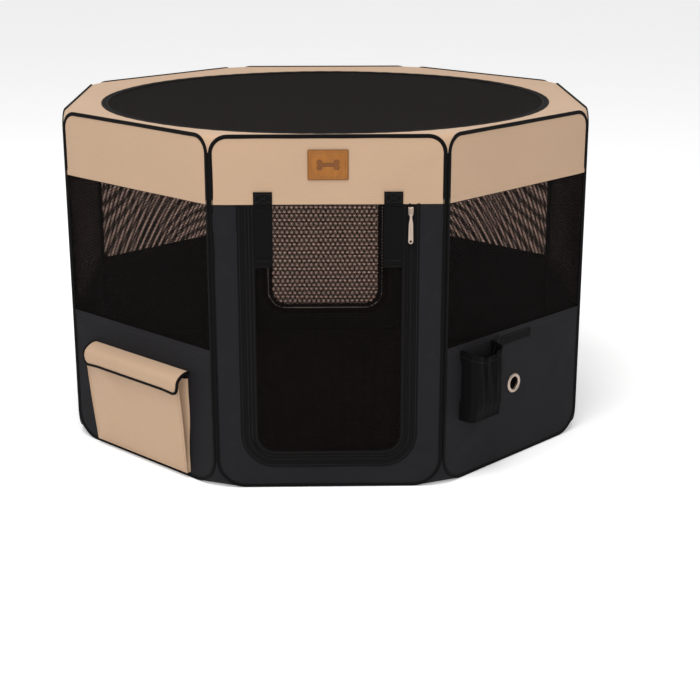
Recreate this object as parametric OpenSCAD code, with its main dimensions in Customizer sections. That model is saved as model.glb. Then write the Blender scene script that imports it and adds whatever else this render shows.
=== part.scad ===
// Folding eight-sided pet playpen: eight fabric panels on steel wire hoops,
// two zipped mesh doors, a sewn floor, a sewn mesh top and outside pockets.
// Millimetres, +Z up, origin at the middle of the floor's underside.
// Every panel is drawn as the front one, facing -Y, then turned by steps of 45 degrees.

/* [Pen] */
// Width across the outer flats of the octagon
pen_w = 914; // [700:1:1200]
// Overall height
pen_h = 592; // [450:1:800]
// Fabric thickness of the bands and skirts, two layers
fabric_t = 2.4; // [2:0.2:3]
// Thickness of the sewn floor
floor_t = 3; // [2:0.5:6]

/* [Panel frame] */
// Diameter of the fabric binding round each panel
binding_d = 5; // [4.5:0.5:8]
// Diameter of the steel wire hoop inside the binding
wire_d = 3; // [2.5:0.5:4]
// Radius of a panel's top corners at the hoop's centreline
corner_top_r = 28; // [20:1:40]
// Radius of a panel's bottom corners at the hoop's centreline
corner_bottom_r = 46; // [30:1:60]
// Height of the cream band along a panel's top
band_h = 111; // [80:1:140]
// Height of the top edge of the dark skirt above the ground
skirt_z = 238; // [200:1:280]
// Thickness of the mesh
mesh_t = 1; // [0.8:0.1:1.2]

/* [Door] */
// Half the width of the door opening in the surround
door_half = 143; // [130:1:150]
// Height of the opening's bottom edge
door_sill = 39; // [30:1:60]
// Radius of the opening's bottom corners
door_r = 55; // [50:1:80]
// Width of the zip tape sewn to the surround
track_w = 15.2; // [12:0.2:18]
// Gap between the two halves of the zip
zip_gap = 1.6; // [1.2:0.1:2]
// Width of the zip tape sewn to the door
door_tape_w = 7.2; // [6:0.2:10]
// Thickness of the zip tape
tape_t = 2; // [1.6:0.1:2.2]
// Distance of each tie strap from the door's middle
strap_x = 103.5; // [80:0.5:104]
// Width of a tie strap
strap_w = 30; // [20:1:30]
// Length of the strap that hangs below the hem
strap_drop = 103; // [60:1:150]
// Height of the strap's sewn end above the hem
strap_tab_h = 20; // [12:1:30]

/* [Zip slider] */
// Width of the slider
slider_w = 8.4; // [8:0.1:9]
// Height of the slider
slider_h = 14; // [10:1:18]
// Length of the pull tab
pull_l = 52; // [30:1:60]
// Width of the pull tab
pull_w = 8; // [6:0.5:8]

/* [Pockets] */
// Width of the large pocket
pocket_w = 250; // [200:1:270]
// Height of the large pocket's bottom edge
pocket_z = 10; // [9:1:30]
// Height of the large pocket's mouth
pocket_top = 183; // [150:1:184]
// Depth of the large pocket at its mouth
pocket_d = 25; // [18:1:28]
// Depth of the large pocket at its bottom
pocket_foot_d = 7; // [6:1:12]
// Depth of the flap's fall in front of the pocket
flap_drop = 33; // [25:1:50]
// Width of the bottle pocket
bottle_w = 80; // [70:1:90]
// Depth of the bottle pocket
bottle_d = 34; // [30:1:50]
// Height of the bottle pocket's bottom
bottle_z = 105; // [70:1:115]
// Height of the bottle pocket's mouth
bottle_top = 229; // [190:1:230]
// Distance of the bottle pocket from the seam beside the front panel
bottle_x = 43; // [35:1:45]

/* [Trim] */
// Outer diameter of the grommet
grommet_d = 35; // [34:1:40]
// Bore of the grommet
grommet_bore = 22; // [16:1:23]
// Height of the grommet's centre
grommet_z = 136; // [100:1:160]
// Length of the hook-and-loop strip
hook_w = 86; // [60:1:90]
// Height of the hook-and-loop strip
hook_h = 18; // [12:1:20]
// Width of the leather patch
patch_w = 64; // [50:1:80]
// Height of the leather patch
patch_h = 48; // [40:1:60]
// Distance of the patch's middle below the panel's top
patch_down = 48; // [40:1:60]

/* [Top] */
// Radius of the mesh disc in the top
top_mesh_r = 404; // [380:1:420]
// Width of the tape sewn round the mesh disc
top_tape_w = 12; // [8:1:16]
// Thickness of the top's fabric and mesh
top_t = 1.5; // [1.2:0.1:2]
// Thickness of the tape round the mesh disc
top_tape_t = 1.2; // [1:0.1:1.5]

/* [Hidden] */
$fn = 64;
NAMES = ["front", "right_front", "right", "right_back", "back", "left_back", "left", "left_front"];
WINDOWS = [1, 2, 3, 5, 6, 7];
DOORS = [0, 4];

cream = [0.72, 0.62, 0.51];
navy = [0.15, 0.15, 0.17];
black = [0.07, 0.07, 0.075];
mesh_black = [0.1, 0.09, 0.09];
steel = [0.62, 0.63, 0.65];
nickel = [0.76, 0.68, 0.6];
leather = [0.58, 0.38, 0.2];

gap = 0.3;                    // room left between pieces that move apart
lap = 0.1;                    // step that keeps stacked faces apart
face = fabric_t / 2;          // outer face of a panel's fabric, from its middle plane
fit = 0.5;                    // play of the wire in its binding, on the diameter
hoop_inset = 2.95;            // hoop centreline to the corner where the middle planes meet
mid_apothem = pen_w / 2 - binding_d / 2;
corner_x = round(100 * mid_apothem * tan(22.5)) / 100;
hoop_x = corner_x - hoop_inset;
hoop_z0 = binding_d / 2;
hoop_z1 = pen_h - binding_d / 2;
in_x = hoop_x - binding_d / 2;
in_z0 = binding_d;
in_z1 = pen_h - binding_d;
in_top_r = corner_top_r - binding_d / 2;
in_bottom_r = corner_bottom_r - binding_d / 2;
hem_z = pen_h - band_h;
door_top = hem_z - 0.6;
coil_x = door_half - track_w;
neck_t = 0.7;
slider_x = coil_x - gap - neck_t + slider_w / 2;
slider_z = hem_z - 12;
slider_gap = tape_t / 2 + gap;
plate_t = 2;
bar_r = 0.9;
eye_r = 2.2;
bar_y = -slider_gap - plate_t - eye_r - gap;
wall = 1.5;
barrel_r = 12.7;
flap_y = pocket_d + face + 1.6;
flap_z = pocket_top + 7;
top_z = pen_h - 6;            // underside of the sewn top, below the crest of the bindings
top_apothem = mid_apothem - binding_d / 2 - gap;

// Places a child, drawn as part of the front panel, on panel i
module on_panel(i) { rotate([0, 0, 45 * i]) translate([0, -mid_apothem, 0]) children(); }

// A sheet with the outline of its child, from y = y0 outwards by t
module sheet(t, y0 = undef) {
    start = y0 == undef ? t / 2 : y0;
    translate([0, start, 0]) rotate([90, 0, 0]) linear_extrude(t) children();
}

// Flat plate in front of y = y0, centred on x and reaching up from z
module plate(x, z, w, h, y0, t) { translate([x - w / 2, y0 - t, z]) cube([w, t, h]); }

// Rectangle, x either side of the middle, whose lower corners are rounded
module round_foot(x, z0, z1, r) {
    translate([-x, z0 + r]) square([2 * x, z1 - z0 - r]);
    translate([r - x, z0]) square([2 * (x - r), r + lap]);
    for (s = [-1, 1]) translate([s * (x - r), z0 + r]) circle(r);
}

// Rectangle whose upper corners are rounded
module round_head(x, z0, z1, r) { mirror([0, 1]) round_foot(x, -z1, -z0, r); }

// Ring of round section that follows a panel's edge; hollow where bore is above zero
module hoop(d, bore = 0) {
    module section() {
        difference() {
            circle(d = d);
            if (bore > 0) circle(d = bore);
        }
    }
    module straight(len) { linear_extrude(len) section(); }
    module bend(r) {
        rotate([90, 0, 0]) rotate_extrude(angle = 90) translate([r, 0]) section();
    }
    rt = corner_top_r;
    rb = corner_bottom_r;
    for (s = [-1, 1]) translate([s * hoop_x, 0, hoop_z0 + rb]) straight(hoop_z1 - hoop_z0 - rt - rb);
    translate([rt - hoop_x, 0, hoop_z1]) rotate([0, 90, 0]) straight(2 * (hoop_x - rt));
    translate([rb - hoop_x, 0, hoop_z0]) rotate([0, 90, 0]) straight(2 * (hoop_x - rb));
    for (s = [0, 1]) mirror([s, 0, 0]) {
        translate([hoop_x - rt, 0, hoop_z1 - rt]) bend(rt);
        translate([hoop_x - rb, 0, hoop_z0 + rb]) rotate([0, 90, 0]) bend(rb);
    }
}

// ---- one panel's own pieces ----

module wire_hoop() { color(steel) hoop(wire_d); }

module edge_binding() { color(black) hoop(binding_d, wire_d + fit); }

module band() { color(cream) sheet(fabric_t) round_head(in_x, hem_z, in_z1, in_top_r); }

module skirt() { color(navy) sheet(fabric_t) round_foot(in_x, in_z0, skirt_z, in_bottom_r); }

module window_mesh() {
    color(mesh_black) plate(0, skirt_z, 2 * in_x, hem_z - skirt_z, mesh_t / 2, mesh_t);
}

// Skirt with the round hole that the grommet is set in
module grommet_skirt() {
    color(navy) difference() {
        sheet(fabric_t) round_foot(in_x, in_z0, skirt_z, in_bottom_r);
        translate([0, fabric_t, grommet_z]) rotate([90, 0, 0])
            cylinder(h = 2 * fabric_t, r = barrel_r + lap);
    }
}

// ---- door and zip ----

// Outline of the door opening, moved inwards by step
module door_outline(step, top) {
    round_foot(door_half - step, door_sill + step, top, door_r - step);
}

module door_surround() {
    color(navy) sheet(fabric_t) difference() {
        round_foot(in_x, in_z0, hem_z, in_bottom_r);
        door_outline(0, hem_z + 1);
    }
}

module zip_track() {
    color(black) sheet(tape_t) difference() {
        door_outline(0, hem_z);
        door_outline(track_w, hem_z + 1);
    }
}

module door_tape() {
    color(black) sheet(tape_t) difference() {
        door_outline(track_w + zip_gap, door_top);
        door_outline(track_w + zip_gap + door_tape_w, door_top + 1);
    }
}

module door_mesh() {
    color(mesh_black) sheet(mesh_t) door_outline(track_w + zip_gap + door_tape_w, door_top);
}

// Two plates joined by a thin neck in the zip's gap, with a bar that carries the pull
module zip_slider() {
    post_w = 1;
    post_x = 2;
    color(nickel) translate([slider_x, 0, slider_z]) {
        for (y = [-slider_gap, slider_gap + plate_t])
            plate(0, -slider_h / 2, slider_w, slider_h, y, plate_t);
        plate(neck_t / 2 - slider_w / 2, 0, neck_t, slider_h / 2, slider_gap, 2 * slider_gap);
        for (x = [-post_x - post_w / 2, post_x + post_w / 2])
            plate(x, -1.5, post_w, 3, -slider_gap - plate_t, -bar_y - slider_gap - plate_t + 1.5);
        translate([-post_x, bar_y, 0]) rotate([0, 90, 0]) cylinder(h = 2 * post_x, r = bar_r);
    }
}

// Flat tab with an eye round the slider's bar and a hole at its lower end
module zip_pull() {
    eye_w = 3;
    neck_l = 5;
    tab_t = 1.4;
    hole_r = 2;
    color(nickel) translate([slider_x, bar_y, slider_z]) {
        difference() {
            union() {
                translate([-eye_w / 2, 0, 0]) rotate([0, 90, 0]) cylinder(h = eye_w, r = eye_r);
                plate(0, -neck_l - 1, eye_w, neck_l + 1, tab_t / 2, tab_t);
                sheet(tab_t) difference() {
                    union() {
                        translate([-pull_w / 2, pull_w / 2 - pull_l])
                            square([pull_w, pull_l - neck_l - pull_w / 2]);
                        translate([0, pull_w / 2 - pull_l]) circle(d = pull_w);
                    }
                    translate([0, pull_w / 2 - pull_l]) circle(hole_r);
                }
            }
            translate([-pull_w, 0, 0]) rotate([0, 90, 0]) cylinder(h = 2 * pull_w, r = bar_r + gap);
        }
    }
}

// ---- trim ----

module tie_straps() {
    clear_hem = 4;
    color(black) for (s = [-1, 1])
        plate(s * strap_x, hem_z - strap_drop, strap_w, strap_drop - clear_hem, -face + lap, 1.7);
}

module strap_tabs() {
    color(black) for (s = [-1, 1]) plate(s * strap_x, hem_z, strap_w, strap_tab_h, -face, 1.6);
}

module leather_patch() {
    r = 2;
    color(leather) translate([0, 0, pen_h - patch_down]) sheet(2.2, -face) {
        square([patch_w, patch_h - 2 * r], center = true);
        square([patch_w - 2 * r, patch_h], center = true);
        for (x = [-1, 1], z = [-1, 1])
            translate([x * (patch_w / 2 - r), z * (patch_h / 2 - r)]) circle(r);
    }
}

// Eyelet with its barrel through the skirt, and the washer that closes it inside
module grommet() {
    flange_t = 2;
    washer_t = 1.5;
    back = face + washer_t;
    color(nickel) translate([0, 0, grommet_z]) rotate([90, 0, 0]) {
        difference() {
            union() {
                translate([0, 0, face]) cylinder(h = flange_t, d = grommet_d);
                translate([0, 0, -back]) cylinder(h = back + face + flange_t, r = barrel_r);
            }
            translate([0, 0, -2 * back]) cylinder(h = 6 * back, d = grommet_bore);
        }
        translate([0, 0, -back]) difference() {
            cylinder(h = washer_t, d = grommet_d - 2);
            translate([0, 0, -1]) cylinder(h = washer_t + 2, r = barrel_r + lap);
        }
    }
}

module hook_strip() {
    color(black) plate(0, skirt_z - 9 - hook_h, hook_w, hook_h, -face, 1.5);
}

// ---- pockets ----

// Front, two side gussets and a bottom, sewn together along seams as wide as lap
module pocket_body() {
    foot_y = face + pocket_foot_d;
    mouth_y = face + pocket_d;
    rise = pocket_top - pocket_z;
    lean = (mouth_y - foot_y) / rise;
    back = face + lap;
    // Slab along x, between x0 and x1, with the given outline of [depth, height] points
    module slab(x0, x1, outline) {
        translate([x0, 0, 0]) rotate([90, 0, 90]) linear_extrude(x1 - x0)
            polygon([for (p = outline) [-p[0], p[1]]]);
    }
    side = pocket_w / 2;
    inner = wall + lap;
    color(cream) {
        slab(-side, side, [[foot_y, pocket_z], [mouth_y, pocket_top],
            [mouth_y - wall, pocket_top], [foot_y - wall, pocket_z]]);
        for (x = [-side, side - wall]) slab(x, x + wall, [[back, pocket_z],
            [foot_y - inner, pocket_z], [mouth_y - inner, pocket_top], [back, pocket_top]]);
        slab(inner - side, side - inner, [[back, pocket_z], [foot_y - inner, pocket_z],
            [foot_y - inner + lean * wall, pocket_z + wall], [back, pocket_z + wall]]);
    }
}

// Lid sewn along its back edge, with a fall in front of the pocket
module pocket_flap() {
    w = pocket_w + 4;
    r = 12;
    color(cream) {
        plate(0, flap_z - wall, w, wall, -face - gap, flap_y + wall - face - gap);
        sheet(wall, -flap_y) round_foot(w / 2, flap_z - flap_drop, flap_z - wall / 2, r);
    }
}

// Open cup with rounded outer corners
module bottle_pocket() {
    r = 14;
    module plan(step) {
        w = bottle_w - 2 * step;
        rs = r - step;
        translate([-w / 2, -bottle_d + step + rs]) square([w, bottle_d - 2 * step - rs]);
        translate([rs - w / 2, step - bottle_d]) square([w - 2 * rs, rs + lap]);
        for (s = [-1, 1]) translate([s * (w / 2 - rs), step - bottle_d + rs]) circle(rs);
    }
    color(black) translate([bottle_x + bottle_w / 2 - corner_x, -face, bottle_z]) difference() {
        linear_extrude(bottle_top - bottle_z) plan(0);
        translate([0, 0, wall]) linear_extrude(bottle_top - bottle_z) plan(wall);
    }
}

// ---- top and floor ----

module octagon(apothem) {
    polygon([for (a = [22.5:45:360]) apothem / cos(22.5) * [cos(a), sin(a)]]);
}

module top_ring() {
    color(cream) translate([0, 0, top_z]) linear_extrude(top_t) difference() {
        octagon(top_apothem);
        circle(top_mesh_r, $fn = 128);
    }
}

module top_mesh() {
    color(mesh_black) translate([0, 0, top_z]) cylinder(h = top_t, r = top_mesh_r, $fn = 128);
}

module top_tape() {
    color(black) translate([0, 0, top_z + top_t]) linear_extrude(top_tape_t) difference() {
        circle(top_mesh_r + top_tape_w / 2, $fn = 128);
        circle(top_mesh_r - top_tape_w / 2, $fn = 128);
    }
}

module floor_sheet() {
    color(navy) linear_extrude(floor_t) octagon(mid_apothem - binding_d / 2 - 1);
}

// ---- the nodes ----

for (i = [0:7]) {
    on_panel(i) wire_hoop();
    on_panel(i) edge_binding();
    on_panel(i) band();
}
for (i = [2, 3, 5, 6, 7])
    on_panel(i) skirt();
on_panel(1) grommet_skirt();  // right_front_skirt
for (i = WINDOWS)
    on_panel(i) window_mesh();
for (i = DOORS) {
    on_panel(i) door_surround();
    on_panel(i) door_mesh();
    on_panel(i) door_tape();
    on_panel(i) zip_track();
    on_panel(i) zip_slider();
    on_panel(i) zip_pull();
}
on_panel(0) tie_straps();
on_panel(0) strap_tabs();
on_panel(0) leather_patch();
on_panel(7) pocket_body();
on_panel(7) pocket_flap();
on_panel(1) bottle_pocket();
on_panel(1) hook_strip();
on_panel(1) grommet();
top_ring();
top_mesh();
top_tape();
floor_sheet();  // floor
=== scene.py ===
"""Visual model of the folding pet playpen: cloth, mesh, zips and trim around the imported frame."""
import math
import random
import bmesh
import bpy
import numpy as np
from mathutils import Matrix, Vector

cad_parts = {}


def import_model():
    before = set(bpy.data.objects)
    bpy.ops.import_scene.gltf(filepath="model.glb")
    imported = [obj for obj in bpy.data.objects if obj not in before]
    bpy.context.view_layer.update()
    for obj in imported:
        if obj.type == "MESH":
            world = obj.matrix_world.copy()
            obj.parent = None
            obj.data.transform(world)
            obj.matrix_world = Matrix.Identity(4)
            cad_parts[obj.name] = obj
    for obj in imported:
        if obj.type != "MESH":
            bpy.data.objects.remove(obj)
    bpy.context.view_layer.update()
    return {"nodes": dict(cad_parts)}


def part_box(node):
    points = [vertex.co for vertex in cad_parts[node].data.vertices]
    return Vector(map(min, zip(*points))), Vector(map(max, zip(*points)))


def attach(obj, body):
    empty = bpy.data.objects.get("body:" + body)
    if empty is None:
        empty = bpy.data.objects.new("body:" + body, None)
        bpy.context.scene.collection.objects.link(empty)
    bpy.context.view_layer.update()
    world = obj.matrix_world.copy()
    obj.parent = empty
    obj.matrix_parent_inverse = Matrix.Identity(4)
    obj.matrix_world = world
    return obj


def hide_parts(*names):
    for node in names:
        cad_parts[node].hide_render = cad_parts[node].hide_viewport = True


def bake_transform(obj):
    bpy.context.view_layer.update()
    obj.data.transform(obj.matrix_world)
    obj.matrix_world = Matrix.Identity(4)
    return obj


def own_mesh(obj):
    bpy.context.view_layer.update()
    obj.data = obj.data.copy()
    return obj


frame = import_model()

# ---------------------------------------------------------------- the frame's own measures

NAMES = ["front", "right_front", "right", "right_back", "back", "left_back", "left", "left_front"]
FRONT, BOTTLE_SIDE, BACK, LEFT, POCKET_SIDE = 0, 1, 4, 6, 7
OPEN_CORNER = BACK        # the back and left back panels share no joint
TURN = math.radians(45)
HALF_TURN = TURN / 2
BIND_LO, BIND_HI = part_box("front_edge_binding")
MID = -(BIND_LO.y + BIND_HI.y) / 2
PIPE_R = (BIND_HI.y - BIND_LO.y) / 2
PANEL = [Matrix.Rotation(TURN * i, 4, "Z") @ Matrix.Translation((0, -MID, 0)) for i in range(8)]
PANEL.append(Matrix.Identity(4))      # index -1: shapes drawn in the row frame


def span(node, panel=FRONT):
    """Lowest and highest corner of a CAD node in its panel's own frame: x along, -y out, z up"""
    inside = PANEL[panel].inverted()
    points = np.array([inside @ v.co for v in frame["nodes"][node].data.vertices])
    return points.min(0), points.max(0)


def span_side(node):
    """Inner x of the right-hand solid of a node that has one on each side of the middle"""
    xs = np.array([v.co.x for v in frame["nodes"][node].data.vertices])
    return xs[xs > 0].min()


HOOP_X = BIND_HI.x - PIPE_R
HOOP_Z0 = BIND_LO.z + PIPE_R
HOOP_Z1 = BIND_HI.z - PIPE_R
CORNER_X = MID * math.tan(HALF_TURN)
BAND_LO, BAND_HI = span("front_band")
SKIRT_LO, SKIRT_HI = span("left_skirt", LEFT)
TRACK_LO, TRACK_HI = span("front_zip_track")
TAPE_LO, TAPE_HI = span("front_door_tape")
MESH_LO, MESH_HI = span("front_door_mesh")
PATCH_LO, PATCH_HI = span("leather_patch")
TAB_LO, TAB_HI = span("strap_tabs")
GROMMET_LO, GROMMET_HI = span("grommet", BOTTLE_SIDE)
TAB_SIDE = span_side("strap_tabs")
PATCH_W = PATCH_HI[0] - PATCH_LO[0]
PATCH_H = PATCH_HI[2] - PATCH_LO[2]
GROMMET_Z = (GROMMET_LO[2] + GROMMET_HI[2]) / 2
HEM_Z = BAND_LO[2]
SKIRT_Z = SKIRT_HI[2]
IN_X = BAND_HI[0]
FACE = BAND_HI[1]
DISC_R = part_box("top_mesh")[1].x
FLOOR_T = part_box("floor")[1].z
R_TOP = 0.028             # hoop centreline radius at a panel's top corners
R_BOTTOM = 0.046          # and at its bottom corners
DOOR_R = 0.055            # radius of the door opening's bottom corners
TUCK = 0.002              # how far cloth reaches under the binding's edge
HALF = IN_X + TUCK        # half the width of a panel's cloth
FOOT_Z = SKIRT_LO[2] - TUCK
PANEL_T = 2 * FACE - 0.0003           # a panel's cloth, just inside its CAD solid
LAYER_T = 0.0012          # one layer of pocket, strap or gusset cloth
TAPE_T = 0.0011           # zip tape
MESH_GAP = 0.0004         # knitted mesh
FLANGE = 0.0041           # reach of the binding's flat part from the hoop's centreline
THREAD_R = 0.00045
SEAM_PITCH = 0.0042       # one stitch of a hem or pocket seam
BOX_PITCH = 0.0030        # one stitch of a strap's or strip's seam
ZIP_PITCH = 0.0036        # one stitch of a zip tape's seam
STITCH_V = 0.0075         # distance of a binding's stitches from its outer crest, over the surface
STITCH_ENDS = 0.36 * np.array([-1, -0.45, 0.45, 1])   # a thread's four rings, in pitches
STITCH_SIZES = np.array([0.35, 1.0, 1.0, 0.35])       # and their share of its radius
STITCH_UV = np.zeros((4, 6, 2))
ASKEW = (0.31, 0.52, 0.79)            # a direction that no path here runs along


# ---------------------------------------------------------------- materials

class Shader:
    """A material with short ways to add and link its nodes"""

    SOCKETS = {"base": "Base Color", "rough": "Roughness", "metal": "Metallic", "normal": "Normal",
               "sheen": "Sheen Weight", "sheen_rough": "Sheen Roughness", "spec": "Specular IOR Level"}

    def __init__(self, name):
        self.mat = bpy.data.materials.new(name)
        self.mat.use_nodes = True
        self.tree = self.mat.node_tree
        self.bsdf = self.tree.nodes["Principled BSDF"]

    def put(self, socket, value):
        if isinstance(value, bpy.types.NodeSocket):
            self.tree.links.new(value, socket)
        else:
            socket.default_value = value

    def node(self, kind, inputs, **settings):
        made = self.tree.nodes.new("ShaderNode" + kind)
        for key, value in settings.items():
            setattr(made, key, value)
        for key, value in inputs.items():
            self.put(made.inputs[key], value)
        return made

    def math(self, operation, a, b=0.0, c=0.0):
        return self.node("Math", {0: a, 1: b, 2: c}, operation=operation).outputs[0]

    def vector(self, operation, a, b=(0, 0, 0)):
        made = self.node("VectorMath", {0: a, 1: b}, operation=operation)
        return made.outputs["Value" if operation == "LENGTH" else "Vector"]

    def remap(self, value, low, high, new_low=0.0, new_high=1.0):
        return self.node("MapRange", {0: value, 1: low, 2: high, 3: new_low, 4: new_high}).outputs[0]

    def between(self, tone, low, high):
        """A value from low to high that follows the middle of a noise"""
        return self.remap(tone, 0.3, 0.7, low, high)

    def mix(self, factor, a, b):
        return self.node("Mix", {0: factor, 6: a, 7: b}, data_type="RGBA").outputs[2]

    def shade(self, factor, rgb, dark, light):
        """The colour at two strengths, mixed by a factor"""
        return self.mix(factor, colour(rgb, dark), colour(rgb, light))

    def object_space(self):
        return self.node("TexCoord", {}).outputs["Object"]

    def uv(self):
        return self.node("UVMap", {}, uv_map="metres").outputs[0]

    def scaled_uv(self, along, across):
        return self.vector("MULTIPLY", self.uv(), (along, across, 1))

    def uv_parts(self):
        return self.node("SeparateXYZ", {0: self.uv()}).outputs[:2]

    def noise(self, scale, detail=3.0, rough=0.5, space=None):
        space = space or self.object_space()
        inputs = {"Vector": space, "Scale": scale, "Detail": detail, "Roughness": rough}
        return self.node("TexNoise", inputs).outputs["Fac"]

    def wave(self, value, pitch):
        """Sine of the given pitch, from -1 to 1"""
        return self.math("SINE", self.math("MULTIPLY", value, 2 * math.pi / pitch))

    def bump(self, height, distance, strength, under=None):
        made = self.node("Bump", {"Height": height, "Distance": distance, "Strength": strength})
        if under is not None:
            self.put(made.inputs["Normal"], under)
        return made.outputs[0]

    def finish(self, **sockets):
        for key, value in sockets.items():
            self.put(self.bsdf.inputs[self.SOCKETS[key]], value)
        return self.mat


def colour(rgb, k=1.0):
    return (*(min(1.0, c * k) for c in rgb), 1.0)


def oxford(name, rgb, pitch=0.0011, sheen=0.01, contrast=0.3, dust=0.0, spec=0.06):
    """Coarse plain-weave polyester whose threads cross at the given pitch"""
    s = Shader(name)
    u, v = s.uv_parts()
    cross = s.math("MULTIPLY", s.wave(u, pitch * 2), s.wave(v, pitch * 2))
    lift = s.math("MULTIPLY_ADD", cross, 0.5, 0.5)
    slub = s.noise(1.0, 2.0, 0.5, s.scaled_uv(60, 900))
    cloud = s.noise(7.0, 4.0, 0.55)
    tone = s.math("MULTIPLY_ADD", cloud, 0.5, s.math("MULTIPLY", slub, 0.5))
    woven = s.shade(lift, rgb, 1 - contrast, 1 + contrast * 0.7)
    base = s.mix(s.remap(tone, 0.35, 0.65), woven, s.mix(0.16, woven, colour(rgb, 0.6)))
    if dust:
        specks = s.remap(s.noise(28.0, 5.0, 0.65), 0.52, 0.8, 0.0, dust)
        base = s.mix(specks, base, (0.35, 0.32, 0.29, 1))
    bumped = s.bump(s.noise(46.0, 4.0, 0.6), 0.0008, 0.35, s.bump(lift, 0.00022, 0.7))
    return s.finish(base=base, rough=s.between(tone, 0.71, 0.85), normal=bumped, sheen=sheen,
                    sheen_rough=0.45, spec=spec)


def binding_cloth(name, rgb):
    """Ribbed woven binding, with a row of stitches along its flat edge"""
    s = Shader(name)
    u, v = s.uv_parts()
    rib = s.math("MULTIPLY_ADD", s.wave(u, 0.0012), 0.5, 0.5)
    tone = s.noise(60.0)
    edge = s.math("ABSOLUTE", s.math("SUBTRACT", s.math("ABSOLUTE", v), STITCH_V))
    line = s.math("LESS_THAN", edge, 0.00055)
    thread = s.math("MULTIPLY", line, s.math("GREATER_THAN", s.wave(u, 0.0036), -0.35))
    worn = s.mix(s.remap(tone, 0.45, 0.75, 0.0, 0.35), s.shade(rib, rgb, 0.75, 1.35), colour(rgb, 2.1))
    height = s.math("MULTIPLY_ADD", rib, 0.35, thread)
    groove = s.math("SUBTRACT", height, s.math("MULTIPLY", line, 0.45))
    return s.finish(base=s.mix(thread, worn, colour(rgb, 3.0)), rough=s.between(tone, 0.62, 0.8),
                    normal=s.bump(groove, 0.0004, 0.8), sheen=0.01, spec=0.06)


def webbing(name, rgb):
    """Ribbed webbing with a shallow herringbone"""
    s = Shader(name)
    u, v = s.uv_parts()
    rib = s.wave(s.math("ADD", v, s.math("PINGPONG", u, 0.0035)), 0.0017)
    height = s.math("MULTIPLY_ADD", rib, 0.3, s.math("MULTIPLY_ADD", s.wave(u, 0.0016), 0.2, 0.5))
    tone = s.noise(40.0)
    base = s.mix(s.remap(tone, 0.4, 0.75, 0.0, 0.3), s.shade(height, rgb, 0.7, 1.6), colour(rgb, 2.2))
    return s.finish(base=base, rough=s.between(tone, 0.55, 0.72), normal=s.bump(height, 0.0005, 0.8),
                    sheen=0.01, spec=0.06)


def knitted_mesh(name, rgb, hole_r, pitch=0.0030, tint=(1.0, 0.935, 0.903, 1.0)):
    """Open knitted mesh: round holes on a six-sided lattice; tint is what the yarn's fuzz lets through"""
    s = Shader(name)
    cell = (pitch, pitch * math.sqrt(3), 1)
    scaled = s.vector("MULTIPLY", s.uv(), (1 / cell[0], 1 / cell[1], 0))
    near = []
    for shift in ((0, 0, 0), (0.5, 0.5, 0)):
        part = s.vector("FRACTION", s.vector("ADD", scaled, shift))
        offset = s.vector("MULTIPLY", s.vector("SUBTRACT", part, (0.5, 0.5, 0)), cell)
        near.append(s.vector("LENGTH", s.vector("MULTIPLY", offset, (1, 1, 0))))
    distance = s.math("MINIMUM", near[0], near[1])
    yarn = s.remap(distance, hole_r * 0.75, hole_r * 1.25)
    ridge = s.remap(distance, hole_r, pitch * 0.6)
    tone = s.noise(300.0, 2.0)
    mixed = s.math("MULTIPLY_ADD", ridge, 0.6, s.math("MULTIPLY", tone, 0.4))
    s.finish(base=s.shade(mixed, rgb, 0.7, 1.5), rough=s.between(tone, 0.7, 0.85),
             normal=s.bump(ridge, 0.0005, 0.9), spec=0.04)
    hole = s.node("BsdfTransparent", {"Color": tint}).outputs[0]
    cut = s.node("MixShader", {0: yarn, 1: hole, 2: s.bsdf.outputs[0]}).outputs[0]
    s.put(s.tree.nodes["Material Output"].inputs["Surface"], cut)
    return s.mat


def pile(name, rgb):
    """Hook-and-loop tape"""
    s = Shader(name)
    u, v = s.uv_parts()
    fuzz = s.noise(1600.0, 3.0, 0.7)
    dots = s.math("MULTIPLY", s.wave(u, 0.0018), s.wave(v, 0.0018))
    height = s.math("MULTIPLY_ADD", dots, 0.4, fuzz)
    return s.finish(base=s.shade(s.remap(height, 0.1, 1.0), rgb, 0.6, 2.0), rough=s.between(fuzz, 0.8, 0.95),
                    sheen=0.02, normal=s.bump(height, 0.0009, 0.9), spec=0.05)


def leather(name, rgb):
    """Grained leather that is darker along the patch's cut edge"""
    s = Shader(name)
    grain = s.node("TexVoronoi", {"Vector": s.scaled_uv(1100, 1100), "Scale": 1.0},
                   feature="F1").outputs["Distance"]
    cloud = s.noise(90.0, 5.0, 0.6)
    pull = s.noise(1.0, 3.0, 0.5, s.scaled_uv(120, 30))
    u, v = s.uv_parts()
    rim_u = s.math("SUBTRACT", PATCH_W / 2, s.math("ABSOLUTE", u))
    rim_v = s.math("SUBTRACT", PATCH_H / 2, s.math("ABSOLUTE", v))
    rim = s.remap(s.math("MINIMUM", rim_u, rim_v), 0.0, 0.0026)
    base = s.shade(cloud, rgb, 0.78, 1.22)
    base = s.mix(s.remap(pull, 0.45, 0.75, 0.0, 0.4), base, colour(rgb, 1.5))
    base = s.mix(rim, colour(rgb, 0.42), base)
    base = s.mix(s.remap(grain, 0.0, 0.3), s.mix(0.35, base, colour(rgb, 0.5)), base)
    normal = s.bump(cloud, 0.0006, 0.3, s.bump(grain, 0.00025, 0.6))
    return s.finish(base=base, rough=s.between(cloud, 0.42, 0.6), normal=normal, spec=0.25)


def metal(name, rgb, rough, scratch):
    """Brushed metal; scratch scales the streaks along each axis"""
    s = Shader(name)
    streak = s.noise(1.0, 4.0, 0.6, s.vector("MULTIPLY", s.object_space(), scratch))
    return s.finish(base=s.shade(s.noise(140.0), rgb, 0.86, 1.08), metal=1.0,
                    rough=s.between(streak, rough - 0.07, rough + 0.1), normal=s.bump(streak, 0.00012, 0.3))


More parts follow.
